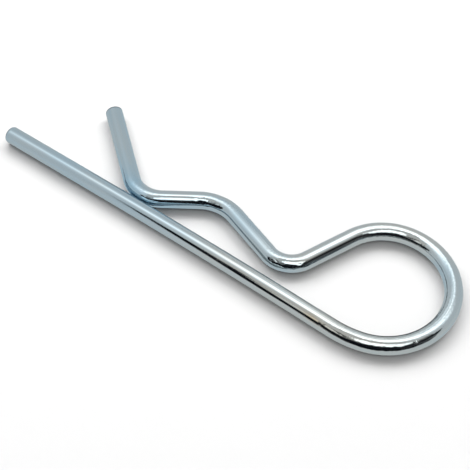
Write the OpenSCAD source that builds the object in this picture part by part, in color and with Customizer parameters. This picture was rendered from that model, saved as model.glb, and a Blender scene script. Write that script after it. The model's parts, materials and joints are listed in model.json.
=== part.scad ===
// R clip: one length of round spring wire, bent in one plane, that locks a hitch pin.
// The straight leg passes through the pin's cross hole, and the waved leg grips round the pin.
// Lengths are in millimetres and angles in degrees. Radii of bends are those of the wire's centre.
// The origin is the centre of the shaft that the clip holds. +X runs along the leg to the eye.

/* [Wire] */
// Diameter of the spring wire
wire_d = 4; // [3:0.5:5]

/* [Straight leg] */
// Length of the straight end that enters the cross hole
leg_straight = 30; // [20:1:40]
// Length of the rest of the leg, which bows slightly outward
leg_bow_len = 60; // [52:1:80]
// Angle through which the leg bows
leg_bow_turn = 2; // [0.5:0.5:4]

/* [Eye] */
// Radius where the leg runs into the eye
eye_entry_r = 24; // [18:0.5:30]
// Turn at the entry radius
eye_entry_turn = 16; // [6:1:26]
// Radius of the round of the eye
eye_r = 15; // [13:0.5:19]
// Radius where the eye closes towards the leg
eye_close_r = 13; // [10:0.5:16]
// Turn at the closing radius
eye_close_turn = 55; // [30:1:70]

/* [Throat and waist] */
// Slope of the throat, where the wire comes down from the eye
throat_slope = 67.5; // [55:0.5:75]
// Clear gap between the waist and the leg's line
waist_gap = 2.6; // [1:0.1:4]
// Radius of the waist bend
waist_r = 6; // [4:0.5:8]

/* [Shaft seat] */
// Diameter of the shaft that the hump holds
shaft_d = 19; // [17:0.5:21]
// Clearance round the shaft while the clip is relaxed
seat_clearance = 0.1; // [0:0.05:0.5]
// Radius of the hump's bend
hump_r = 10; // [7:0.5:11]
// Slope of the hump's flank on the waist side
waist_flank_slope = 19.5; // [17:0.5:26]
// Slope of the hump's flank on the lip side
lip_flank_slope = 34; // [28:0.5:40]

/* [Lip and flare] */
// Clear gap between the lip and the leg's line
lip_gap = 0.1; // [0.1:0.1:2]
// Radius of the lip's bend
lip_r = 7.5; // [5:0.5:10]
// Slope of the flare that guides the clip on
flare_slope = 40; // [30:1:55]
// Length of the flare's straight end
flare_len = 21.6; // [14:0.2:30]

/* [Cut ends] */
// Corner radius of the straight leg's tip
tip_round = 0.9; // [0.2:0.1:1.4]
// Corner radius of the flare's end
flare_round = 0.4; // [0.2:0.1:1.2]

/* [Hidden] */

// Steps drawn round the wire's section, round a bend and round the leg's long bow
section_facets = 64;
sweep_facets = 180;
bow_facets = 1800;
// Factor that a stretch of wire is shrunk and enlarged by, see joinable()
join_ease = 1000;

wire_r = wire_d / 2;

// A station on the wire is [x, y, heading]. Turns to the left are positive.
function after_run(p, len) = [p[0] + len * cos(p[2]), p[1] + len * sin(p[2]), p[2]];
function after_bend(p, r, turn) = [
    p[0] + sign(turn) * r * (sin(p[2] + turn) - sin(p[2])),
    p[1] - sign(turn) * r * (cos(p[2] + turn) - cos(p[2])),
    p[2] + turn
];

// Height that a bend of radius r gains between its level point and a given slope
function rise(r, slope) = r * (1 - cos(slope));

// Leg and eye, from the tip at [0, 0, 0]
leg_bow_r = round(leg_bow_len / (leg_bow_turn * PI / 180));
eye_turn = 180 + throat_slope + leg_bow_turn - eye_entry_turn - eye_close_turn;
bow_start = after_run([0, 0, 0], leg_straight);
eye_entry = after_bend(bow_start, leg_bow_r, -leg_bow_turn);
eye_start = after_bend(eye_entry, eye_entry_r, eye_entry_turn);
eye_close = after_bend(eye_start, eye_r, eye_turn);
throat_start = after_bend(eye_close, eye_close_r, eye_close_turn);

// Heights of the wire's centre at the waist, the hump's top and the lip
waist_height = wire_d + waist_gap;
flank_fit = (sin(waist_flank_slope) + sin(lip_flank_slope)) / sin(waist_flank_slope + lip_flank_slope);
hump_centre_height = (shaft_d / 2 + seat_clearance + wire_r - hump_r) * flank_fit;
hump_height = hump_centre_height + hump_r;
lip_height = wire_d + lip_gap;

// Straight runs of the waved leg, each as long as the heights at its two ends ask for
throat_len = (throat_start[1] - waist_height - rise(waist_r, throat_slope)) / sin(throat_slope);
waist_flank_len = (hump_height - rise(hump_r, waist_flank_slope)
    - waist_height - rise(waist_r, waist_flank_slope)) / sin(waist_flank_slope);
lip_flank_len = (hump_height - rise(hump_r, lip_flank_slope)
    - lip_height - rise(lip_r, lip_flank_slope)) / sin(lip_flank_slope);

// Turns of the waved leg's bends
waist_turn = -(throat_slope + waist_flank_slope);
hump_turn = waist_flank_slope + lip_flank_slope;
lip_turn = -(lip_flank_slope + flare_slope);

// The shaft touches both flanks of the hump alike, with its centre on the leg's line
waist_start = after_run(throat_start, throat_len);
waist_flank = after_bend(waist_start, waist_r, waist_turn);
hump_start = after_run(waist_flank, waist_flank_len);
seat_shift = hump_centre_height * (cos(waist_flank_slope) - cos(lip_flank_slope))
    / (sin(waist_flank_slope) + sin(lip_flank_slope));
seat_x = hump_start[0] - hump_r * sin(waist_flank_slope) + seat_shift;

// Shrinks a stretch of wire and enlarges it again. This loosens the tolerance of an exact build,
// where numbers keep six digits, so that neighbouring stretches still join face to face.
module joinable() {
    scale(join_ease) scale(1 / join_ease) children();
}

// Straight stretch of wire along +X. What comes after it starts at its far end.
module run(len) {
    joinable() rotate([0, 90, 0]) cylinder(r = wire_r, h = len, $fn = section_facets);
    translate([len, 0, 0]) children();
}

// Bent stretch of wire that sets out along +X. What comes after it starts at its far end.
module bend(r, turn, facets = sweep_facets) {
    far_end = after_bend([0, 0, 0], r, turn);
    joinable() translate([0, sign(turn) * r, 0]) rotate([0, 0, sign(turn) * -90])
        rotate_extrude(angle = turn, $fn = facets)
            translate([r, 0]) rotate(-90) circle(r = wire_r, $fn = section_facets);
    translate([far_end[0], far_end[1], 0]) rotate([0, 0, turn]) children();
}

// Half section of a straight stretch whose first end is cut square, with its corner rounded
module end_profile(len, corner) {
    intersection() {
        union() {
            square([wire_r - corner, len]);
            translate([0, corner]) square([wire_r, len - corner]);
            translate([wire_r - corner, corner]) circle(r = corner, $fn = section_facets);
        }
        square([wire_r, len]);
    }
}

// Straight stretch that starts with a cut end. What comes after it starts at its far end.
module first_run(len, corner) {
    joinable() rotate([0, 90, 0]) rotate_extrude($fn = section_facets) end_profile(len, corner);
    translate([len, 0, 0]) children();
}

// Straight stretch that finishes with a cut end
module last_run(len, corner) {
    joinable() translate([len, 0, 0]) rotate([0, -90, 0]) rotate_extrude($fn = section_facets)
        end_profile(len, corner);
}

module straight_leg() {
    first_run(leg_straight, tip_round)
    bend(leg_bow_r, -leg_bow_turn, bow_facets)
    children();
}

module eye() {
    bend(eye_entry_r, eye_entry_turn)
    bend(eye_r, eye_turn)
    bend(eye_close_r, eye_close_turn)
    children();
}

module waved_leg() {
    run(throat_len)
    bend(waist_r, waist_turn)
    run(waist_flank_len)
    bend(hump_r, hump_turn)
    run(lip_flank_len)
    bend(lip_r, lip_turn)
    last_run(flare_len, flare_round);
}

module r_clip() {
    color("#a8b8c0") translate([-seat_x, 0, 0]) straight_leg() eye() waved_leg();
}

r_clip();
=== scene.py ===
"""Hitch R clip: the bent spring wire with its bright zinc finish, and the small studio it lies in.

Lengths are in metres and angles in radians, except in the tables that say otherwise. The origin is the
centre of the shaft that the clip holds, +X runs along the straight leg to the eye, and the wire lies
flat in the plane Z = 0.
"""

import json
import math
from collections import namedtuple

import bpy
from mathutils import Matrix, Vector


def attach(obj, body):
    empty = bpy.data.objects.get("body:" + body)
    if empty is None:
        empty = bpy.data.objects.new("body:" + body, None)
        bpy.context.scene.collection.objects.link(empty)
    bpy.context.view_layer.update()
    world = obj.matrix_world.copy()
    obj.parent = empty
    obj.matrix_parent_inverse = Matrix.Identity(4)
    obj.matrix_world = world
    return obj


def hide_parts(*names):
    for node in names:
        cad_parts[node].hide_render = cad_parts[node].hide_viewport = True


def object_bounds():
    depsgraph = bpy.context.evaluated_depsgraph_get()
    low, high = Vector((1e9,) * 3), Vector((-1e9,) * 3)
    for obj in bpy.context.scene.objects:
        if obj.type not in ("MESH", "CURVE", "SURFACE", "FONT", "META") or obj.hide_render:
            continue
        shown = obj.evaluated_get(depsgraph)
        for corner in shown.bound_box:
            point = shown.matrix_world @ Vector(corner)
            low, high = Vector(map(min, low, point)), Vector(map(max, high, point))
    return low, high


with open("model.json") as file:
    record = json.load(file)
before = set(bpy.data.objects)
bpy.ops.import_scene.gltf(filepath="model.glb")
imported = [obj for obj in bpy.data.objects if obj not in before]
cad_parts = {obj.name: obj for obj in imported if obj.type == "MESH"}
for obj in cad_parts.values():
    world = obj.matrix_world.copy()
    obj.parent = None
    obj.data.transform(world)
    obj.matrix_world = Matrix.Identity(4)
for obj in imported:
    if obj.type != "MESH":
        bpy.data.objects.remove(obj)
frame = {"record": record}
CAD_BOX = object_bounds()

bl_info = {
    "name": "Hitch R clip",
    "version": (1, 0, 0),
    "blender": (4, 5, 0),
    "location": "3D View > Sidebar > R clip",
    "description": "Bends a spring-wire R clip, gives it a bright zinc finish and lights it",
    "category": "Add Mesh",
}

MM = 0.001
NODE = "r_clip"
BODY = "root"

# The wire's radius and the shaft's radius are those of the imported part's mounts.
MOUNT_R = {mount["name"]: mount["dims"]["r_mm"] * MM for mount in frame["record"]["mounts"]}


def linear(hex_colour):
    """An sRGB hex colour as the linear (red, green, blue) that shaders take."""
    values = [int(hex_colour[i : i + 2], 16) / 255 for i in (1, 3, 5)]
    return tuple(v / 12.92 if v <= 0.04045 else ((v + 0.055) / 1.055) ** 2.4 for v in values)


def add_node(tree, kind, inputs=None, **settings):
    """Adds a node with its settings. An input is a socket to link from or a value to hold."""
    node = tree.nodes.new(kind)
    for name, value in settings.items():
        setattr(node, name, value)
    for key, source in (inputs or {}).items():
        if isinstance(source, bpy.types.NodeSocket):
            tree.links.new(source, node.inputs[key])
        else:
            node.inputs[key].default_value = source
    return node


def fading(tree, place, centre, half_widths):
    """1 at the centre, fading to 0 as a bell curve round it. Half widths are those at 0.6."""
    apart = add_node(tree, "ShaderNodeVectorMath", {0: place, 1: centre}, operation="SUBTRACT")
    scaled = add_node(
        tree, "ShaderNodeVectorMath", {0: apart.outputs[0], 1: half_widths}, operation="DIVIDE"
    )
    far = add_node(tree, "ShaderNodeVectorMath", {0: scaled.outputs[0]}, operation="LENGTH")
    squared = add_node(tree, "ShaderNodeMath", {0: far.outputs["Value"], 1: 2.0}, operation="POWER")
    exponent = add_node(tree, "ShaderNodeMath", {0: squared.outputs[0], 1: -0.5}, operation="MULTIPLY")
    return add_node(tree, "ShaderNodeMath", {0: exponent.outputs[0]}, operation="EXPONENT").outputs[0]


def sum_of_marks(tree, place, marks):
    """The sum of (centre, half widths, strength) marks that fade out round their centres."""
    total = 0.0
    for centre, half_widths, strength in marks:
        total = add_node(
            tree,
            "ShaderNodeMath",
            {0: fading(tree, place, centre, half_widths), 1: strength, 2: total},
            operation="MULTIPLY_ADD",
        ).outputs[0]
    return total


# ---------------------------------------------------------------------------------------------
# Sizes and colours that a user would change
# ---------------------------------------------------------------------------------------------


def length(name, description, default, least=0.0):
    return bpy.props.FloatProperty(
        name=name, description=description, default=default, min=least, unit="LENGTH", precision=5
    )


def angle(name, description, degrees):
    return bpy.props.FloatProperty(
        name=name, description=description, default=math.radians(degrees), subtype="ANGLE"
    )


def colour(name, description, hex_colour):
    return bpy.props.FloatVectorProperty(
        name=name,
        description=description,
        default=linear(hex_colour),
        subtype="COLOR",
        size=3,
        min=0.0,
        max=1.0,
    )


def share(name, description, default, most=1.0):
    return bpy.props.FloatProperty(
        name=name, description=description, default=default, min=0.0, max=most
    )


class ClipSizes(bpy.types.PropertyGroup):
    """The bent wire's driving sizes. Radii of bends are those of the wire's centre."""

    wire_r: length("Wire radius", "Half the diameter of the spring wire", MOUNT_R["leg_tip"])
    leg_straight: length("Straight leg", "Straight end that enters the cross hole", 30 * MM)
    leg_bow_len: length("Leg bow length", "Rest of the leg, which bows slightly outward", 60 * MM)
    leg_bow_turn: angle("Leg bow turn", "Angle through which the leg bows", 2)
    eye_entry_r: length("Eye entry radius", "Radius where the leg runs into the eye", 24 * MM)
    eye_entry_turn: angle("Eye entry turn", "Turn at the entry radius", 16)
    eye_r: length("Eye radius", "Radius of the round of the eye", 15 * MM)
    eye_close_r: length("Eye closing radius", "Radius where the eye closes towards the leg", 13 * MM)
    eye_close_turn: angle("Eye closing turn", "Turn at the closing radius", 55)
    throat_slope: angle("Throat slope", "Slope of the wire where it comes down from the eye", 67.5)
    waist_gap: length("Waist gap", "Clear gap between the waist and the leg's line", 2.6 * MM)
    waist_r: length("Waist radius", "Radius of the waist bend", 6 * MM)
    shaft_r: length(
        "Shaft radius", "Half the diameter of the shaft that the hump holds", MOUNT_R["shaft_seat"]
    )
    seat_clearance: length("Seat clearance", "Clearance round the shaft of the relaxed clip", 0.1 * MM)
    hump_r: length("Hump radius", "Radius of the hump's bend", 10 * MM)
    waist_flank_slope: angle("Waist flank slope", "Slope of the hump's flank on the waist side", 19.5)
    lip_flank_slope: angle("Lip flank slope", "Slope of the hump's flank on the lip side", 34)
    lip_gap: length("Lip gap", "Clear gap between the lip and the leg's line", 0.1 * MM)
    lip_r: length("Lip radius", "Radius of the lip's bend", 7.5 * MM)
    flare_slope: angle("Flare slope", "Slope of the flare that guides the clip on", 40)
    flare_len: length("Flare length", "Straight end of the flare", 21.6 * MM)
    tip_round: length("Tip rounding", "Corner radius of the straight leg's tip", 0.9 * MM)
    flare_round: length("Flare rounding", "Corner radius of the flare's end", 0.4 * MM)
    end_crown: length("End crown", "How far a cut end swells out in its middle", 0.08 * MM)


class ClipFinish(bpy.types.PropertyGroup):
    """The plated surface of the wire."""

    straw_zinc: colour("Straw zinc", "Zinc whose passivate has gone straw coloured", "#bbb6a8")
    plain_zinc: colour("Plain zinc", "Zinc where its passivate is thin", "#b6bcbc")
    blue_zinc: colour("Blue zinc", "Zinc under an even clear-blue passivate", "#a9bac3")
    deep_zinc: colour("Deep blue zinc", "Zinc where its passivate is thickest", "#98b8cb")
    # The rims beside the cut ends also fade to this colour: partly the duller cut zinc, partly painted
    # shade, the floor's shadow that the rounded corners mirror.
    sheared_zinc: colour("Sheared zinc", "Duller zinc over the cut ends", "#76828a")
    roughness: share("Roughness", "Blur of the plated wire's reflections", 0.08)
    mark_share: share("Tool marks", "Depth of the tool's marks, as a share of their own", 1.0, most=3.0)
    line_spacing: length("Drawn line spacing", "Spacing of the die's lines round the wire", 0.3 * MM)
    line_depth: length("Drawn line depth", "Depth of the die's lines", 0.004 * MM)
    ripple_size: length("Ripple size", "Width of the ripples that bending leaves", 0.5 * MM)
    ripple_depth: length("Ripple depth", "Depth of the ripples in the bends", 0.03 * MM)
    scuff_size: length("Scuff size", "Width of the nicks that the bending tool leaves", 0.45 * MM)
    scuff_depth: length("Scuff depth", "Depth of the bending tool's nicks", 0.1 * MM)
    seed: bpy.props.IntProperty(
        name="Seed", description="Places the clouds, lines, ripples and nicks", default=7, min=0
    )


class ClipStage(bpy.types.PropertyGroup):
    """The floor, the lights and the camera."""

    floor_colour: colour("Floor colour", "Pale floor under the clip", "#c4c4c4")
    ambient: share("Ambient light", "Even light from all round on the floor", 0.71, most=10.0)
    back_brightness: share("Back brightness", "Light of the softboxes behind the clip", 6.3, most=50.0)
    front_brightness: share("Front brightness", "Mirrored glow of the front softbox", 2.4, most=50.0)
    view_azimuth: angle("View azimuth", "Camera's turn round the clip, from looking along +Y", 35.553)
    view_elevation: angle("View elevation", "Camera's height over the plane of the wire", 52.018)
    view_roll: angle("View roll", "Camera's turn about its own axis", 0.644)
    view_distance: length("View distance", "From the aim point to the camera", 295.5 * MM)
    aim_x: length("Aim X", "Aim point along the leg", 6.22 * MM, least=-1.0)
    aim_y: length("Aim Y", "Aim point across the clip", 6.84 * MM, least=-1.0)
    lens: bpy.props.FloatProperty(
        name="Lens", description="Focal length on a sensor 36 mm wide", default=103.73, unit="CAMERA"
    )


# ---------------------------------------------------------------------------------------------
# The wire's route: straight runs and bends, one after another from the leg's tip
# ---------------------------------------------------------------------------------------------

# One stretch of wire. A straight run has no turn; turns to the left are positive.
Stretch = namedtuple("Stretch", "name length turn")


def bend(name, radius, turn):
    return Stretch(name, radius * abs(turn), turn)


def rise(radius, slope):
    """Height that a bend gains between its level point and a given slope."""
    return radius * (1 - math.cos(slope))


def place_at(stretches, along):
    """(x, y, heading) of the wire's centre at a distance along it, from the tip at (0, 0)."""
    x, y, heading = 0.0, 0.0, 0.0
    for part in stretches:
        span = min(along, part.length)
        if part.turn:
            turned = part.turn * span / part.length
            radius = part.length / part.turn
            x += radius * (math.sin(heading + turned) - math.sin(heading))
            y -= radius * (math.cos(heading + turned) - math.cos(heading))
            heading += turned
        else:
            x += span * math.cos(heading)
            y += span * math.sin(heading)
        along -= span
        if along <= 0:
            break
    return x, y, heading


def wire_route(s):
    """The clip's stretches, and the X of the shaft's centre from the leg's tip."""
    bow_r = round(s.leg_bow_len / s.leg_bow_turn / MM) * MM
    eye_turn = math.pi + s.throat_slope + s.leg_bow_turn - s.eye_entry_turn - s.eye_close_turn
    leg_and_eye = [
        Stretch("leg", s.leg_straight, 0),
        bend("bow", bow_r, -s.leg_bow_turn),
        bend("eye_entry", s.eye_entry_r, s.eye_entry_turn),
        bend("eye", s.eye_r, eye_turn),
        bend("eye_close", s.eye_close_r, s.eye_close_turn),
    ]
    _, throat_y, _ = place_at(leg_and_eye, math.inf)
    near, far = s.waist_flank_slope, s.lip_flank_slope
    flank_fit = (math.sin(near) + math.sin(far)) / math.sin(near + far)
    hump_centre_y = (s.shaft_r + s.seat_clearance + s.wire_r - s.hump_r) * flank_fit
    hump_y = hump_centre_y + s.hump_r
    waist_y = 2 * s.wire_r + s.waist_gap
    lip_y = 2 * s.wire_r + s.lip_gap
    throat_len = (throat_y - waist_y - rise(s.waist_r, s.throat_slope)) / math.sin(s.throat_slope)
    near_drop = rise(s.hump_r, near) + rise(s.waist_r, near)
    far_drop = rise(s.hump_r, far) + rise(s.lip_r, far)
    to_hump = [
        Stretch("throat", throat_len, 0),
        bend("waist", s.waist_r, -(s.throat_slope + near)),
        Stretch("waist_flank", (hump_y - waist_y - near_drop) / math.sin(near), 0),
    ]
    to_end = [
        bend("hump", s.hump_r, near + far),
        Stretch("lip_flank", (hump_y - lip_y - far_drop) / math.sin(far), 0),
        bend("lip", s.lip_r, -(far + s.flare_slope)),
        Stretch("flare", s.flare_len, 0),
    ]
    hump_start = place_at(leg_and_eye + to_hump, math.inf)[0]
    seat_shift = hump_centre_y * (math.cos(near) - math.cos(far)) / (math.sin(near) + math.sin(far))
    return leg_and_eye + to_hump + to_end, hump_start - s.hump_r * math.sin(near) + seat_shift


STATION_SPACING = 0.25 * MM
SECTION_FACETS = 96
# Rings over a cut end's face and over its corner, and the radius of the first, which a cap closes
CROWN_RINGS = 6
CORNER_RINGS = 8
POLE_R = 0.02 * MM
# The cut attribute: its value on a cut end's face, the value above which a facet takes the end's
# finish, the value that darkens the rim in full, and how far that reaches from where the corner starts.
# The darker rim is partly the duller cut zinc and partly painted shade, the floor's shadow that the
# rounded corner mirrors.
END_CUT = 2.0
END_FINISH_CUT = 1.6
SHADED_RIM_CUT = 0.45
SHADED_RIM_REACH = 0.6 * MM


def cut_end_rings(wire_r, corner, crown):
    """(distance from the end, radius) of a cut end's rings, from its pole to the full section."""
    face_r = wire_r - corner
    rings = []
    for ring in range(CROWN_RINGS):
        radius = max(POLE_R, face_r * ring / CROWN_RINGS)
        rings.append((crown * (radius / face_r) ** 2, radius))
    for ring in range(CORNER_RINGS + 1):
        swing = math.radians(90) * ring / CORNER_RINGS
        rings.append((crown + corner * (1 - math.cos(swing)), face_r + corner * math.sin(swing)))
    return rings


def stations(total, sizes):
    """(distance along the wire, radius, cut) of every ring.

    Cut falls from 1 to 0 within the rim's reach from where the corner starts, and the rim's painted
    shade fades out with it.
    """
    tip = cut_end_rings(sizes.wire_r, sizes.tip_round, sizes.end_crown)
    flare = cut_end_rings(sizes.wire_r, sizes.flare_round, sizes.end_crown)
    start, end = tip[-1][0], total - flare[-1][0]
    steps = round((end - start) / STATION_SPACING)
    middle = [(start + (end - start) * step / steps, sizes.wire_r, 0.0) for step in range(1, steps)]
    ends = []
    for rings in (tip, flare):
        corner = rings[CROWN_RINGS][0]
        past = [max(0.0, 1 - (depth - corner) / SHADED_RIM_REACH) for depth, _ in rings[CROWN_RINGS:]]
        ends.append([(*ring, cut) for ring, cut in zip(rings, [END_CUT] * CROWN_RINGS + past)])
    last = [(total - depth, radius, cut) for depth, radius, cut in ends[1]]
    return ends[0] + middle + last[::-1]


# Marks on the wire are (stretch, mm past its middle, degrees up from the wire's left side, half width
# and half length in mm, and one more value).
# Marks of the bending tool: the value is their depth in mm, below 0 where it raised the metal
TOOL_MARKS = (
    ("waist", -2.5, 49, 0.18, 0.25, 0.07),
    ("waist", -1.3, 31, 0.15, 0.25, 0.05),
    ("waist", -0.4, 22, 0.2, 0.3, -0.06),
    ("waist", 0.3, 15, 0.2, 0.3, -0.06),
    ("waist", 0.6, 47, 0.15, 0.2, 0.05),
    ("waist", 2.4, 43, 0.25, 0.4, 0.05),
    ("hump", 0.2, 38, 0.2, 0.7, 0.03),
    ("hump", 4.2, 31, 0.3, 1.2, 0.05),
    ("hump", 4.6, 57, 0.33, 0.9, -0.07),
    ("hump", 5.3, 54, 0.22, 0.3, 0.08),
    ("lip", -1.2, 46, 0.3, 1.1, -0.08),
    ("eye", -12.4, 128, 0.25, 0.4, 0.04),
)
# Patches that the tool scuffed: the value is the strength of their nicks
SCUFFS = (
    ("waist", -0.7, 17, 0.35, 1.2, 0.5),
    ("hump", 1.6, 48, 0.3, 1.2, 0.5),
    ("lip", -1.5, 50, 0.8, 1.3, 0.25),
    ("eye", -12.2, 132, 0.4, 0.7, 0.5),
    ("bow", 28.5, 131, 0.3, 0.4, 1.0),
)
# Where the passivate is thicker or thinner than beside it: the value is the change in thickness
TINTS = (
    ("bow", 26, 136, 0.5, 1.7, -1.0),
    ("eye", 11, 20, 1.2, 6, 0.6),
    ("lip", -6, 8, 1.1, 7, 1.3),
    ("waist", 0, 10, 1.0, 3, 0.6),
)
# Thickness of the passivate along the wire: (stretch, mm past its middle, thickness). It changes evenly
# in between.
FILM = (
    ("leg", 0, 1.05),
    ("bow", -15, 0.95),
    ("bow", -2, 0.25),
    ("bow", 15, 0.0),
    ("eye_entry", 0, -0.1),
    ("eye", -12, 0.15),
    ("eye", -4, 0.55),
    ("eye", 2, 0.65),
    ("eye", 10, 0.5),
    ("eye", 18, 0.1),
    ("throat", 0, 0.15),
    ("waist", -3, 0.1),
    ("waist", 2.5, 0.6),
    ("waist_flank", 0, 0.9),
    ("waist_flank", 5, 0.95),
    ("hump", 0, 0.65),
    ("lip_flank", 0, 0.25),
    ("lip", -2, 0.6),
    ("lip", 2.5, 1.6),
    ("flare", -6, 1.1),
    ("flare", 0, 0.95),
    ("flare", 10, 1.05),
)
# Stretch of the wire's skin in a bend that has its ripples in full
RIPPLE_STRAIN = 0.1
# Length over which the ripples set in, at each end of a bend
BEND_EASE = 2 * MM


def span_of(stretches, name):
    """Distances along the wire at which a named stretch starts and ends."""
    start = 0.0
    for part in stretches:
        if part.name == name:
            return start, start + part.length
        start += part.length
    raise ValueError(f"the route has no stretch named {name}")


def mark_places(sizes, marks):
    """(centre, half widths, value) on the straightened wire of each mark."""
    stretches, _ = wire_route(sizes)
    places = []
    for name, past_middle, degrees, half_width, half_length, value in marks:
        start, end = span_of(stretches, name)
        # The swept section has its X to the wire's right and its Y down.
        x = -sizes.wire_r * math.cos(math.radians(degrees))
        y = -sizes.wire_r * math.sin(math.radians(degrees))
        centre = (x, y, (start + end) / 2 + past_middle * MM)
        places.append((centre, (half_width * MM, half_width * MM, half_length * MM), value))
    return places


def ripple_at(stretches, along, wire_r):
    """How rippled a bend's skin is here, from 0 to 1, eased in at the ends of the bend."""
    ripple, start = 0.0, 0.0
    for part in stretches:
        end = start + part.length
        if part.turn:
            inside = min(along - start, end - along) / BEND_EASE
            ease = min(1.0, max(0.0, 0.5 + 0.5 * inside))
            strain = wire_r * abs(part.turn) / part.length
            ripple = max(ripple, ease * min(1.0, strain / RIPPLE_STRAIN))
        start = end
    return ripple


def film_stops(stretches):
    """(distance along the wire, thickness of the passivate) pairs."""
    return [
        (sum(span_of(stretches, name)) / 2 + past_middle * MM, film) for name, past_middle, film in FILM
    ]


def film_at(stops, along):
    """Thickness of the passivate, which changes evenly between its stops."""
    before = stops[0]
    for stop in stops:
        if along <= stop[0]:
            share_past = (along - before[0]) / (stop[0] - before[0]) if stop is not before else 0.0
            return before[1] + (stop[1] - before[1]) * max(0.0, share_past)
        before = stop
    return before[1]


def centre_line(sizes):
    """A mesh polyline on the wire's centre, with the attributes that the sweep reads."""
    stretches, seat_x = wire_route(sizes)
    total = sum(part.length for part in stretches)
    rings = stations(total, sizes)
    points = [place_at(stretches, along) for along, _, _ in rings]
    stops = film_stops(stretches)
    mesh = bpy.data.meshes.new("wire_centre_line")
    mesh.from_pydata(
        [(x - seat_x, y, 0.0) for x, y, _ in points], [(i, i + 1) for i in range(len(points) - 1)], []
    )
    columns = {
        "along": [along for along, _, _ in rings],
        "girth": [radius / sizes.wire_r for _, radius, _ in rings],
        "cut": [cut for _, _, cut in rings],
        "ripple": [ripple_at(stretches, along, sizes.wire_r) for along, _, _ in rings],
        "film": [film_at(stops, along) for along, _, _ in rings],
    }
    for name, values in columns.items():
        mesh.attributes.new(name, "FLOAT", "POINT").data.foreach_set("value", values)
    return mesh


# ---------------------------------------------------------------------------------------------
# The sweep: Geometry Nodes run a round section along the centre line and dent it
# ---------------------------------------------------------------------------------------------

# The attributes of the centre line and of the section that the sweep reads
FIELDS = {
    "girth": "FLOAT",
    "section": "FLOAT_VECTOR",
    "along": "FLOAT",
    "wire_place": "FLOAT_VECTOR",
    "cut": "FLOAT",
}
TREE_INPUTS = (
    ("Centre line", "NodeSocketGeometry"),
    ("Wire radius", "NodeSocketFloat"),
    ("Facets round", "NodeSocketInt"),
    ("Tool marks", "NodeSocketFloat"),
    ("Zinc wire", "NodeSocketMaterial"),
    ("Cut ends", "NodeSocketMaterial"),
)


def sweep_tree(marks):
    """Centre line in, plated wire out, which keeps wire_place, its place on the straightened wire."""
    tree = bpy.data.node_groups.new("bent_wire", "GeometryNodeTree")
    for name, kind in TREE_INPUTS:
        tree.interface.new_socket(name, in_out="INPUT", socket_type=kind)
    tree.interface.new_socket("Wire", in_out="OUTPUT", socket_type="NodeSocketGeometry")
    given = add_node(tree, "NodeGroupInput").outputs
    field = {}
    for name, kind in FIELDS.items():
        read = add_node(tree, "GeometryNodeInputNamedAttribute", {"Name": name}, data_type=kind)
        field[name] = read.outputs[0]

    line = add_node(tree, "GeometryNodeMeshToCurve", {"Mesh": given["Centre line"]})
    upright = add_node(tree, "GeometryNodeSetCurveNormal", {"Curve": line.outputs[0]}, mode="Z_UP")
    section = add_node(
        tree,
        "GeometryNodeCurvePrimitiveCircle",
        {"Resolution": given["Facets round"], "Radius": given["Wire radius"]},
    )
    place_on_section = add_node(tree, "GeometryNodeInputPosition")
    kept_section = add_node(
        tree,
        "GeometryNodeStoreNamedAttribute",
        {"Geometry": section.outputs["Curve"], "Name": "section", "Value": place_on_section.outputs[0]},
        data_type="FLOAT_VECTOR",
        domain="POINT",
    )
    swept = add_node(
        tree,
        "GeometryNodeCurveToMesh",
        {
            "Curve": upright.outputs[0],
            "Profile Curve": kept_section.outputs[0],
            "Scale": field["girth"],
            "Fill Caps": True,
        },
    )
    across = add_node(
        tree, "ShaderNodeVectorMath", {0: field["section"], "Scale": field["girth"]}, operation="SCALE"
    )
    lengthwise = add_node(tree, "ShaderNodeCombineXYZ", {"Z": field["along"]})
    place = add_node(
        tree, "ShaderNodeVectorMath", {0: across.outputs[0], 1: lengthwise.outputs[0]}, operation="ADD"
    )
    placed = add_node(
        tree,
        "GeometryNodeStoreNamedAttribute",
        {"Geometry": swept.outputs[0], "Name": "wire_place", "Value": place.outputs[0]},
        data_type="FLOAT_VECTOR",
        domain="POINT",
    )
    dent = sum_of_marks(tree, field["wire_place"], marks)
    sink = add_node(tree, "ShaderNodeMath", {0: dent, 1: given["Tool marks"]}, operation="MULTIPLY")
    outward = add_node(tree, "GeometryNodeInputNormal")
    offset = add_node(
        tree,
        "ShaderNodeVectorMath",
        {0: outward.outputs[0], "Scale": sink.outputs[0]},
        operation="SCALE",
    )
    dented = add_node(
        tree, "GeometryNodeSetPosition", {"Geometry": placed.outputs[0], "Offset": offset.outputs[0]}
    )
    smooth = add_node(tree, "GeometryNodeSetShadeSmooth", {"Geometry": dented.outputs[0]})
    solid = add_node(tree, "GeometryNodeRealizeInstances", {"Geometry": smooth.outputs[0]})
    plated = add_node(
        tree, "GeometryNodeSetMaterial", {"Geometry": solid.outputs[0], "Material": given["Zinc wire"]}
    )
    on_end = add_node(
        tree, "ShaderNodeMath", {0: field["cut"], 1: END_FINISH_CUT}, operation="GREATER_THAN"
    )
    finished = add_node(
        tree,
        "GeometryNodeSetMaterial",
        {"Geometry": plated.outputs[0], "Selection": on_end.outputs[0], "Material": given["Cut ends"]},
    )
    add_node(tree, "NodeGroupOutput", {"Wire": finished.outputs[0]})
    return tree


def baked(holder, tree, values):
    """Runs the tree on the holder object and returns its result as a plain mesh."""
    modifier = holder.modifiers.new("sweep", "NODES")
    modifier.node_group = tree
    for item in tree.interface.items_tree:
        if item.in_out == "INPUT" and item.name in values:
            modifier[item.identifier] = values[item.name]
    bpy.context.view_layer.update()
    evaluated = holder.evaluated_get(bpy.context.evaluated_depsgraph_get())
    mesh = bpy.data.meshes.new_from_object(evaluated)
    holder.modifiers.remove(modifier)
    return mesh


# ---------------------------------------------------------------------------------------------
# Finishes
# ---------------------------------------------------------------------------------------------

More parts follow.
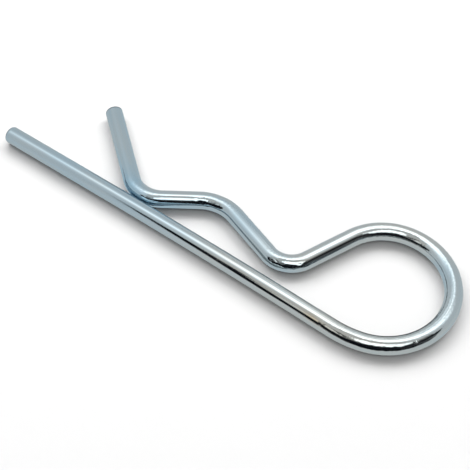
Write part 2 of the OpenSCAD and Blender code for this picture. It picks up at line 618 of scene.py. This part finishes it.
# Widths and lengths of the passivate's clouds and of the spots that tumbling rubbed
CLOUD_SIZE = (1.5 * MM, 14 * MM)
RUB_SIZE = (0.6 * MM, 5 * MM)
# Noise seldom leaves these ranges, so their ends are drawn as the least and the most
CLOUD_NOISE = (0.3, 0.7)
RUB_NOISE = (0.4, 0.75)
# Change of the passivate's thickness in a cloud, either way
CLOUD_FILM = 0.3
# Roughness where the plate is most rubbed, as a multiple of what it is elsewhere
RUBBED_BLUR = 1.8
# How many times longer than wide the die's lines, the ripples and the nicks are
LINE_STRETCH = 30
RIPPLE_STRETCH = 1.5
NICK_STRETCH = 1.4
# The zinc colours stand at even steps between these thicknesses of the passivate.
FILM_RANGE = (-1.0, 2.0)
# What zinc mirrors at a glancing angle
GLANCING_ZINC = "#e7eaeb"
# Width, length and depth of the shear's score lines
SCORE_SIZE = (0.15 * MM, 1.5 * MM)
SCORE_DEPTH = 0.03 * MM
SHEARED_ROUGHNESS = 0.3
# The floor: width of its tooth, how dark that is as a share of the floor's colour, and its roughness
FLOOR_TOOTH = 2 * MM
FLOOR_SHADE = 0.99
FLOOR_ROUGHNESS = 0.9


def bare_material(name):
    """A node material without nodes, and its tree."""
    material = bpy.data.materials.new(name)
    material.use_nodes = True
    material.node_tree.nodes.clear()
    return material, material.node_tree


def new_material(name):
    """A material, its tree, and its Principled shader linked to the output."""
    material, tree = bare_material(name)
    shader = add_node(tree, "ShaderNodeBsdfPrincipled")
    add_node(tree, "ShaderNodeOutputMaterial", {"Surface": shader.outputs[0]})
    return material, tree, shader


def wire_pattern(tree, seed, width, run, **noise_inputs):
    """Noise on the straightened wire whose grains are this wide and this long."""
    place = add_node(tree, "ShaderNodeAttribute", attribute_name="wire_place")
    sized = add_node(
        tree,
        "ShaderNodeMapping",
        {"Vector": place.outputs["Vector"], "Scale": (1 / width, 1 / width, 1 / run)},
    )
    noise = add_node(
        tree,
        "ShaderNodeTexNoise",
        {"Vector": sized.outputs[0], "W": seed, "Scale": 1.0, **noise_inputs},
        noise_dimensions="4D",
    )
    return noise.outputs[0]


def bright_zinc_wire(finish, tints, scuffs):
    """Drawn spring wire, bright zinc electroplate, clear-blue passivate.

    The plate is smooth enough to mirror the lights as sharp bands. The die's lines streak them along
    the wire, bending ripples their edges and the tool's scuffs break them up. The thin passivate tints
    the zinc blue, and straw in a patch.
    """
    material, tree, shader = new_material("bright_zinc_blue_passivate")
    place = add_node(tree, "ShaderNodeAttribute", attribute_name="wire_place").outputs["Vector"]
    film = add_node(tree, "ShaderNodeAttribute", attribute_name="film").outputs["Fac"]
    tinted = sum_of_marks(tree, place, tints)
    clouds = wire_pattern(tree, finish.seed, *CLOUD_SIZE, Detail=3.0)
    cloudy = add_node(
        tree,
        "ShaderNodeMapRange",
        {
            "Value": clouds,
            "From Min": CLOUD_NOISE[0],
            "From Max": CLOUD_NOISE[1],
            "To Min": -CLOUD_FILM,
            "To Max": CLOUD_FILM,
        },
    )
    film = add_node(tree, "ShaderNodeMath", {0: film, 1: tinted}, operation="ADD")
    film = add_node(tree, "ShaderNodeMath", {0: film.outputs[0], 1: cloudy.outputs[0]}, operation="ADD")
    shade = add_node(
        tree,
        "ShaderNodeMapRange",
        {"Value": film.outputs[0], "From Min": FILM_RANGE[0], "From Max": FILM_RANGE[1]},
    )
    zinc = add_node(tree, "ShaderNodeValToRGB", {"Fac": shade.outputs[0]})
    colours = (finish.straw_zinc, finish.plain_zinc, finish.blue_zinc, finish.deep_zinc)
    stops = zinc.color_ramp.elements
    for step in range(1, len(colours) - 1):
        stops.new(step / (len(colours) - 1))
    for stop, stop_colour in zip(stops, colours):
        stop.color = (*stop_colour, 1)
    # Painted shade in part: near each cut end the rim fades to the duller cut zinc, which also stands
    # in for the floor's shadow that the rounded corner mirrors.
    cut = add_node(tree, "ShaderNodeAttribute", attribute_name="cut").outputs["Fac"]
    corner = add_node(tree, "ShaderNodeMapRange", {"Value": cut, "From Max": SHADED_RIM_CUT})
    cut_and_shaded_rim = add_node(
        tree,
        "ShaderNodeMix",
        {"Factor": corner.outputs[0], 6: zinc.outputs["Color"], 7: (*finish.sheared_zinc, 1)},
        data_type="RGBA",
    )
    tree.links.new(cut_and_shaded_rim.outputs[2], shader.inputs["Base Color"])

    line_width, ripple_width, nick_width = finish.line_spacing, finish.ripple_size, finish.scuff_size
    lines = wire_pattern(tree, finish.seed, line_width, LINE_STRETCH * line_width, Detail=2.0)
    ripples = wire_pattern(tree, finish.seed, ripple_width, RIPPLE_STRETCH * ripple_width, Detail=1.0)
    bent = add_node(tree, "ShaderNodeAttribute", attribute_name="ripple").outputs["Fac"]
    nicks = wire_pattern(tree, finish.seed, nick_width, NICK_STRETCH * nick_width, Detail=1.0)
    scuffed = sum_of_marks(tree, place, scuffs)
    normal = None
    for pattern, strength, depth in (
        (lines, 1.0, finish.line_depth),
        (ripples, bent, finish.ripple_depth),
        (nicks, scuffed, finish.scuff_depth),
    ):
        height = add_node(tree, "ShaderNodeMath", {0: pattern, 1: strength}, operation="MULTIPLY")
        bump = add_node(tree, "ShaderNodeBump", {"Height": height.outputs[0], "Distance": depth})
        if normal is not None:
            tree.links.new(normal, bump.inputs["Normal"])
        normal = bump.outputs[0]
    tree.links.new(normal, shader.inputs["Normal"])

    rubbed = wire_pattern(tree, finish.seed, *RUB_SIZE, Detail=3.0)
    blur = add_node(
        tree,
        "ShaderNodeMapRange",
        {
            "Value": rubbed,
            "From Min": RUB_NOISE[0],
            "From Max": RUB_NOISE[1],
            "To Min": finish.roughness,
            "To Max": RUBBED_BLUR * finish.roughness,
        },
    )
    tree.links.new(blur.outputs[0], shader.inputs["Roughness"])
    shader.inputs["Metallic"].default_value = 1.0
    shader.inputs["Specular Tint"].default_value = (*linear(GLANCING_ZINC), 1)
    return material


def sheared_zinc_end(finish):
    """Cut face of the wire, sheared and then tumbled and plated with the rest.

    The shear leaves short score lines across the face, so it looks duller and darker than the wire.
    """
    material, tree, shader = new_material("zinc_over_sheared_steel")
    place = add_node(tree, "ShaderNodeAttribute", attribute_name="wire_place")
    width, run = SCORE_SIZE
    sized = add_node(
        tree,
        "ShaderNodeMapping",
        {"Vector": place.outputs["Vector"], "Scale": (1 / width, 1 / run, 1 / width)},
    )
    scores = add_node(
        tree, "ShaderNodeTexNoise", {"Vector": sized.outputs[0], "Scale": 1.0, "Detail": 3.0}
    )
    zinc = add_node(
        tree,
        "ShaderNodeMix",
        {"Factor": scores.outputs[0], 6: (*finish.sheared_zinc, 1), 7: (*finish.blue_zinc, 1)},
        data_type="RGBA",
    )
    tree.links.new(zinc.outputs[2], shader.inputs["Base Color"])
    scored = add_node(tree, "ShaderNodeBump", {"Height": scores.outputs[0], "Distance": SCORE_DEPTH})
    tree.links.new(scored.outputs[0], shader.inputs["Normal"])
    shader.inputs["Metallic"].default_value = 1.0
    shader.inputs["Roughness"].default_value = SHEARED_ROUGHNESS
    return material


def matt_floor(stage):
    """Sanded white acrylic sheet.

    The sanding takes all gloss off it, and is a faint tooth that only shows close up.
    """
    material, tree, shader = new_material("sanded_white_acrylic")
    place = add_node(tree, "ShaderNodeTexCoord")
    sanding = add_node(
        tree, "ShaderNodeTexNoise", {"Vector": place.outputs["Object"], "Scale": 1 / FLOOR_TOOTH}
    )
    shade = add_node(
        tree,
        "ShaderNodeMix",
        {
            "Factor": sanding.outputs[0],
            6: (*(FLOOR_SHADE * c for c in stage.floor_colour), 1),
            7: (*stage.floor_colour, 1),
        },
        data_type="RGBA",
    )
    tree.links.new(shade.outputs[2], shader.inputs["Base Color"])
    shader.inputs["Roughness"].default_value = FLOOR_ROUGHNESS
    shader.inputs["Specular IOR Level"].default_value = 0.0
    return material


def lit_cloth(name, spots, back=None, tint="#ffffff"):
    """Emission that fades out round each (middle, half widths, brightness) spot, over a plain back.

    Lengths are in mm. Without a back it only adds its light to what lies behind it.
    """
    material, tree = bare_material(name)
    place = add_node(tree, "ShaderNodeTexCoord").outputs["Object"]
    marks = []
    for middle, half_widths, brightness in spots:
        marks.append(([c * MM for c in middle], [h * MM for h in half_widths], brightness))
    strength = sum_of_marks(tree, place, marks)
    light = add_node(tree, "ShaderNodeEmission", {"Color": (*linear(tint), 1), "Strength": strength})
    if back is None:
        behind = add_node(tree, "ShaderNodeBsdfTransparent")
    else:
        behind = add_node(tree, "ShaderNodeEmission", {"Color": (*linear(back), 1), "Strength": 1.0})
    both = add_node(tree, "ShaderNodeAddShader", {0: light.outputs[0], 1: behind.outputs[0]})
    add_node(tree, "ShaderNodeOutputMaterial", {"Surface": both.outputs[0]})
    return material


# ---------------------------------------------------------------------------------------------
# The studio: floor, tent, softboxes, the dark room past the tent's open front, and the camera
# ---------------------------------------------------------------------------------------------

# Lengths in the studio are in mm and angles in degrees. Places are (right, away, height) of the aim
# point, as the camera sees it, and the corners of level cards are (right, away). Spots of light are
# (middle, half widths, brightness), where a half height of 1000 has no say.
FLOOR = CAD_BOX[0][2] / MM
FLOOR_SIZE = 6000
MIRRORED_FLOOR = "#eceeee"
# The colour of dark cards
UNLIT = "#0d1118"
# The dome of cloth, and how far down from its top it reaches
TENT_R = 3000
TENT_RINGS = 8
TENT_SIDES = 32
TENT_REACH = 95
TENT_CLOTH = "#e9e9e8"
# The height of the tent's roof, which ends over the clip in an inverted V, open towards the camera
ROOF = 500
ROOF_APEX = (-30, 100)
ROOF_LEFT = (-1400, -750)
ROOF_RIGHT = (1400, -600)
ROOF_BACK = 900
# The lamps' spots on the roof
ROOF_SPOTS = (
    ((100, 145, ROOF), (225, 72, 1000), 2.2),
    ((110, 320, ROOF), (70, 50, 1000), 1.3),
    ((-450, 200, ROOF), (260, 150, 1000), 0.25),
    ((-30, 250, ROOF), (45, 50, 1000), 0.6),
)
# The dark frame along the edge of the roof: where it starts on each side, its width there and at the
# roof's end, and how far below the roof it is
FRAME_LEFT = ((-450, -210), 30, 90)
FRAME_RIGHT = ((540, -185), 120, 320)
FRAME_DROP = 2
# The ceiling past the open front: how far it reaches, its colour, and its lamps' colour and spots
CEILING_REACH = -1500
CEILING_CLOTH = "#565656"
CEILING_LAMP = "#fffaf4"
CEILING_SPOTS = (
    ((-560, -230, ROOF), (380, 200, 1000), 0.72),
    ((0, -20, ROOF), (230, 130, 1000), 0.55),
    ((320, -60, ROOF), (110, 110, 1000), 0.55),
    ((-525, -430, ROOF), (60, 80, 1000), 1.3),
)
# Skylines are (azimuth from the camera's, foot, top): the dark wall of the room, and nearer to the clip
# the black bag on a light stand.
ROOM_R = 620
ROOM_SKYLINE = (
    (-68.2, 372, 445), (-67, 330, 470), (-66, 298, 500), (-65.2, 275, 542), (-64.1, 262, 520),
    (-62.7, 240, 488), (-61.3, 215, 445), (-60.2, 190, 419), (-59, 158, 370), (-57.7, 115, 328),
    (-56.2, 70, 302), (-54, 25, 280), (-51, 0, 285), (-45, 0, 300), (-36, 0, 320), (-22, 0, 450),
    (-5, 0, 450), (5, 0, 430), (30, 0, 410), (50, 0, 430), (57, 0, 450), (63.4, 110, 450),
    (69.4, 180, 440), (75.8, 260, 430), (79, 340, 400),
)
BAG_R = 210
BAG_SKYLINE = (
    (-70.7, 122, 142), (-69.5, 103, 150), (-68.1, 82, 150), (-66.7, 67, 152), (-65.2, 60, 158),
    (-63.6, 54, 166), (-62.6, 47, 164), (-61.5, 39, 158), (-60, 34, 150), (-58.3, 26, 140),
    (-56.6, 16, 130), (-55, 6, 120), (-53.5, 0, 110), (-50.8, 0, 88),
)
# A dim streak of light on the room's wall
ROOM_STREAK = ((560, -300, 180), (200, 200, 70), 0.13)
# The softbox over the camera, how far below the roof it is, and the middle and half widths of its glow
FRONT_CORNERS = (
    (-60, -125), (20, -140), (130, -190), (240, -215), (325, -213), (345, -385), (310, -640),
    (200, -540), (-40, -450), (-245, -440), (-170, -250), (-150, -200),
)
FRONT_DROP = 5
FRONT_SPOT = ((60, -400, ROOF), (400, 300, 1000))
# The arm that holds it
ARM_CORNERS = ((-270, -190), (-310, -190), (-345, -300), (-440, -480), (-400, -560), (-300, -350))
ARM_DROP = 6
# A small bounce card over the eye: its lit spot, and half its size
BOUNCE_SPOT = ((35, 50, 60), (11, 13, 1000), 0.85)
BOUNCE_HALF = 40
# Dark cards at floor level inside the eye and in front of the clip, which only reflections show:
# painted dark reflections of the floor. Then how far they lie above the floor
EYE_DARK_CORNERS = ((18, -17), (28, -13), (38, -12), (41, -14), (41, -19), (36, -25), (26, -25))
FRONT_DARK_CORNERS = (
    (-33, -45), (-9, -40), (13, -39.5), (32, -43), (60, -52), (95, -70), (200, -500), (-250, -500),
)
DARK_CARD_LIFT = 0.3
# The softboxes behind the clip: azimuths from the camera's, elevation, distance and size
BACK_TURNS = (135, 180, -135)
BACK_ELEVATION = 45
BACK_DISTANCE = 800
BACK_SIZE = 450
# The painted contact shadow under the wire, which only reflections show: half its width, how far apart
# its corners are, and its height off the floor
SHADE_HALF = 1.7
SHADE_STEP = 2
SHADE_LIFT = 0.1
CONTACT_SHADOW_COLOUR = "#181c22"
# The camera's sensor, and the nearest that it sees
SENSOR = 36
NEAR_CLIP = 10


def studio_matrix(stage):
    """Turns (right, away, height) of the aim point into the row frame."""
    aim = Vector((stage.aim_x, stage.aim_y, 0))
    return Matrix.Translation(aim) @ Matrix.Rotation(stage.view_azimuth, 4, "Z")


def new_card(name, corners, faces, material):
    """A card of the studio, which isn't part of the clip. Its corners are in mm."""
    mesh = bpy.data.meshes.new(name)
    mesh.from_pydata([[c * MM for c in corner] for corner in corners], [], faces)
    mesh.materials.append(material)
    card = bpy.data.objects.new(name, mesh)
    bpy.context.scene.collection.objects.link(card)
    return card


def reflected_card(stage, name, corners, faces, material):
    """A card of the studio that only reflections show."""
    card = new_card(name, corners, faces, material)
    card.matrix_world = studio_matrix(stage)
    card.visible_camera = False
    card.visible_diffuse = False
    card.visible_shadow = False
    card.visible_transmission = False
    return card


def level_card(stage, name, height, outlines, material):
    """A level reflected card of one or more outlines."""
    corners, faces = [], []
    for outline in outlines:
        faces.append(tuple(range(len(corners), len(corners) + len(outline))))
        corners += [(*corner, height) for corner in outline]
    reflected_card(stage, name, corners, faces, material)


def square(middle, half):
    """The corners of a level square."""
    x, y = middle[:2]
    return [(x + i * half, y + j * half) for i, j in ((-1, -1), (1, -1), (1, 1), (-1, 1))]


def strip_faces(steps):
    """The quads of a strip whose corners come in pairs."""
    return [(2 * i, 2 * i + 2, 2 * i + 3, 2 * i + 1) for i in range(steps)]


def skyline_card(stage, name, radius, skyline, material):
    """A card round the studio's middle, from the foot to the top of its skyline."""
    corners = []
    for azimuth, foot, top in skyline:
        swing = math.radians(azimuth)
        place = (radius * math.sin(swing), -radius * math.cos(swing))
        corners += [(*place, FLOOR + foot), (*place, top)]
    reflected_card(stage, name, corners, strip_faces(len(skyline) - 1), material)


def back_softboxes(stage):
    """Square lights behind and beside the clip that face it. Reflections show the cards instead."""
    for turn in BACK_TURNS:
        light = bpy.data.lights.new("back_softbox", "AREA")
        light.size = BACK_SIZE * MM
        light.energy = stage.back_brightness * math.pi * light.size**2
        box = bpy.data.objects.new("back_softbox", light)
        bpy.context.scene.collection.objects.link(box)
        tilt = Matrix.Rotation(math.radians(90 - BACK_ELEVATION), 4, "X")
        swing = Matrix.Rotation(math.radians(turn), 4, "Z")
        back_off = Matrix.Translation((0, 0, BACK_DISTANCE * MM))
        box.matrix_world = studio_matrix(stage) @ swing @ tilt @ back_off
        box.visible_glossy = False
        box.visible_camera = False


def tent_roof(stage):
    """The lamps' glow on the tent's roof, which ends in an inverted V over the clip."""
    halves = []
    for end in (ROOF_LEFT, ROOF_RIGHT):
        halves.append((ROOF_APEX, end, (end[0], ROOF_BACK), (ROOF_APEX[0], ROOF_BACK)))
    level_card(stage, "tent_roof", ROOF, halves, lit_cloth("lit_tent_roof", ROOF_SPOTS))


def roof_frame(stage):
    """The dark frame that holds the edge of the tent's roof."""
    sides = []
    for (start, first_width, last_width), end in ((FRAME_LEFT, ROOF_LEFT), (FRAME_RIGHT, ROOF_RIGHT)):
        sides.append((start, end, (end[0], end[1] - last_width), (start[0], start[1] - first_width)))
    level_card(stage, "roof_frame", ROOF - FRAME_DROP, sides, lit_cloth("unlit_frame", (), back=UNLIT))


def room_ceiling(stage):
    """The dim ceiling that shows through the tent's open front."""
    near_left, near_right = (ROOF_LEFT[0], CEILING_REACH), (ROOF_RIGHT[0], CEILING_REACH)
    outline = (ROOF_APEX, ROOF_LEFT, near_left, near_right, ROOF_RIGHT)
    dim = lit_cloth("dim_room_ceiling", CEILING_SPOTS, back=CEILING_CLOTH, tint=CEILING_LAMP)
    level_card(stage, "room_ceiling", ROOF, [outline], dim)


def dark_room(stage):
    """The unlit room in front of the tent, with the black bag on a light stand."""
    wall = lit_cloth("unlit_room", [ROOM_STREAK], back=UNLIT)
    skyline_card(stage, "dark_room", ROOM_R, ROOM_SKYLINE, wall)
    skyline_card(stage, "stand_bag", BAG_R, BAG_SKYLINE, lit_cloth("black_bag", (), back=UNLIT))


def front_softbox(stage):
    """The softbox over the camera, whose cloth sags to an uneven outline."""
    glow = lit_cloth("lit_softbox", [(*FRONT_SPOT, stage.front_brightness)])
    level_card(stage, "front_softbox", ROOF - FRONT_DROP, [FRONT_CORNERS], glow)


def dark_cards(stage):
    """The arm of the front softbox, and the painted dark reflections of the floor inside the eye and in
    front.
    """
    for name, height, outline in (
        ("softbox_arm", ROOF - ARM_DROP, ARM_CORNERS),
        # Cards on the floor that only reflections show: painted dark reflections of the floor.
        ("front_dark_reflection", FLOOR + DARK_CARD_LIFT, FRONT_DARK_CORNERS),
        ("eye_dark_reflection", FLOOR + DARK_CARD_LIFT, EYE_DARK_CORNERS),
    ):
        level_card(stage, name, height, [outline], lit_cloth(name, (), back=UNLIT))


def contact_shade(stage, sizes):
    """A painted contact shadow: a dark strip under the wire, which only the wire's own reflections
    show.
    """
    stretches, seat_x = wire_route(sizes)
    total = sum(part.length for part in stretches)
    steps = round(total / MM / SHADE_STEP)
    corners = []
    for step in range(steps + 1):
        x, y, heading = place_at(stretches, total * step / steps)
        for half in (-SHADE_HALF, SHADE_HALF):
            aside = ((x - seat_x) / MM - half * math.sin(heading), y / MM + half * math.cos(heading))
            corners.append((*aside, FLOOR + SHADE_LIFT))
    # A dark card in place of the shade under the wire: painted shadow.
    dark = lit_cloth("painted_contact_shadow", (), back=CONTACT_SHADOW_COLOUR)
    card = reflected_card(stage, "contact_shade", corners, strip_faces(steps), dark)
    card.matrix_world = Matrix.Identity(4)


def bounce_card(stage):
    """A small card that widens the highlight on the far side of the eye."""
    outline = square(BOUNCE_SPOT[0], BOUNCE_HALF)
    glow = lit_cloth("lit_bounce_card", [BOUNCE_SPOT])
    level_card(stage, "bounce_card", BOUNCE_SPOT[0][2], [outline], glow)


def tent(stage):
    """Even light from all round, and the dome of white cloth that the wire mirrors."""
    world = bpy.data.worlds.new("ambient")
    world.use_nodes = True
    background = world.node_tree.nodes["Background"]
    background.inputs["Color"].default_value = (1, 1, 1, 1)
    background.inputs["Strength"].default_value = stage.ambient
    bpy.context.scene.world = world
    corners, faces = [(0, 0, TENT_R)], []
    for ring in range(1, TENT_RINGS + 1):
        tilt = math.radians(TENT_REACH) * ring / TENT_RINGS
        for side in range(TENT_SIDES):
            swing = math.tau * side / TENT_SIDES
            flat = TENT_R * math.sin(tilt)
            corners.append((flat * math.cos(swing), flat * math.sin(swing), TENT_R * math.cos(tilt)))
            beside = (side + 1) % TENT_SIDES
            above, below = 1 + (ring - 2) * TENT_SIDES, 1 + (ring - 1) * TENT_SIDES
            if ring == 1:
                faces.append((0, below + side, below + beside))
            else:
                faces.append((above + side, below + side, below + beside, above + beside))
    reflected_card(stage, "tent", corners, faces, lit_cloth("tent_cloth", (), back=TENT_CLOTH))


def floor(stage):
    """The floor, and in its place for reflections an even card, as the wire mirrors no shadows."""
    outline = square((0, 0), FLOOR_SIZE / 2)
    corners = [(*corner, FLOOR) for corner in outline]
    card = new_card("floor", corners, [(0, 1, 2, 3)], matt_floor(stage))
    card.visible_glossy = False
    even = lit_cloth("even_floor", (), back=MIRRORED_FLOOR)
    level_card(stage, "mirrored_floor", FLOOR, [outline], even)


def camera(stage):
    """The camera, turned round the aim point and backed off from it."""
    data = bpy.data.cameras.new("camera")
    data.lens = stage.lens
    data.sensor_width = SENSOR
    data.clip_start = NEAR_CLIP * MM
    view = bpy.data.objects.new("camera", data)
    bpy.context.scene.collection.objects.link(view)
    tilt = Matrix.Rotation(math.radians(90) - stage.view_elevation, 4, "X")
    back_off = Matrix.Translation((0, 0, stage.view_distance))
    roll = Matrix.Rotation(stage.view_roll, 4, "Z")
    view.matrix_world = studio_matrix(stage) @ tilt @ back_off @ roll
    bpy.context.scene.camera = view


# ---------------------------------------------------------------------------------------------
# Operators, panel and registration
# ---------------------------------------------------------------------------------------------


class HITCHCLIP_OT_wire(bpy.types.Operator):
    """Bend and plate the clip's wire"""

    bl_idname = "hitchclip.wire"
    bl_label = "Bent wire"

    def execute(self, context):
        sizes, finish = context.scene.clip_sizes, context.scene.clip_finish
        marks = mark_places(sizes, TOOL_MARKS)
        dents = [(centre, half_widths, -depth * MM) for centre, half_widths, depth in marks]
        zinc = bright_zinc_wire(finish, mark_places(sizes, TINTS), mark_places(sizes, SCUFFS))
        holder = bpy.data.objects.new("wire_centre_line", centre_line(sizes))
        context.scene.collection.objects.link(holder)
        values = {
            "Wire radius": sizes.wire_r,
            "Facets round": SECTION_FACETS,
            "Tool marks": finish.mark_share,
            "Zinc wire": zinc,
            "Cut ends": sheared_zinc_end(finish),
        }
        mesh = baked(holder, sweep_tree(dents), values)
        if not mesh.polygons:
            raise RuntimeError("the wire's sweep came out empty")
        bpy.data.objects.remove(holder)
        wire = bpy.data.objects.new("bent_wire", mesh)
        context.scene.collection.objects.link(wire)
        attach(wire, BODY)
        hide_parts(NODE)
        return {"FINISHED"}


class HITCHCLIP_OT_stage(bpy.types.Operator):
    """Lay the floor, set the lights and aim the camera"""

    bl_idname = "hitchclip.stage"
    bl_label = "Stage"

    def execute(self, context):
        stage = context.scene.clip_stage
        camera(stage)
        floor(stage)
        tent(stage)
        tent_roof(stage)
        roof_frame(stage)
        room_ceiling(stage)
        dark_room(stage)
        front_softbox(stage)
        dark_cards(stage)
        contact_shade(stage, context.scene.clip_sizes)
        bounce_card(stage)
        back_softboxes(stage)
        context.scene.view_settings.view_transform = "Standard"
        return {"FINISHED"}


class HITCHCLIP_PT_panel(bpy.types.Panel):
    """Lists the clip's pieces with their sizes and colours"""

    bl_idname = "HITCHCLIP_PT_panel"
    bl_label = "Hitch R clip"
    bl_space_type = "VIEW_3D"
    bl_region_type = "UI"
    bl_category = "R clip"

    def draw(self, context):
        for operator, groups in (
            (HITCHCLIP_OT_wire, ("clip_sizes", "clip_finish")),
            (HITCHCLIP_OT_stage, ("clip_stage",)),
        ):
            box = self.layout.box()
            for group in groups:
                settings = getattr(context.scene, group)
                for name in settings.__annotations__:
                    box.prop(settings, name)
            box.operator(operator.bl_idname)


CLASSES = (ClipSizes, ClipFinish, ClipStage, HITCHCLIP_OT_wire, HITCHCLIP_OT_stage, HITCHCLIP_PT_panel)
GROUPS = {"clip_sizes": ClipSizes, "clip_finish": ClipFinish, "clip_stage": ClipStage}


def register():
    for cls in CLASSES:
        bpy.utils.register_class(cls)
    for name, group in GROUPS.items():
        setattr(bpy.types.Scene, name, bpy.props.PointerProperty(type=group))


def unregister():
    for name in GROUPS:
        delattr(bpy.types.Scene, name)
    for cls in reversed(CLASSES):
        bpy.utils.unregister_class(cls)


def main():
    register()
    bpy.ops.hitchclip.wire()
    bpy.ops.hitchclip.stage()


if __name__ == "__main__":
    main()
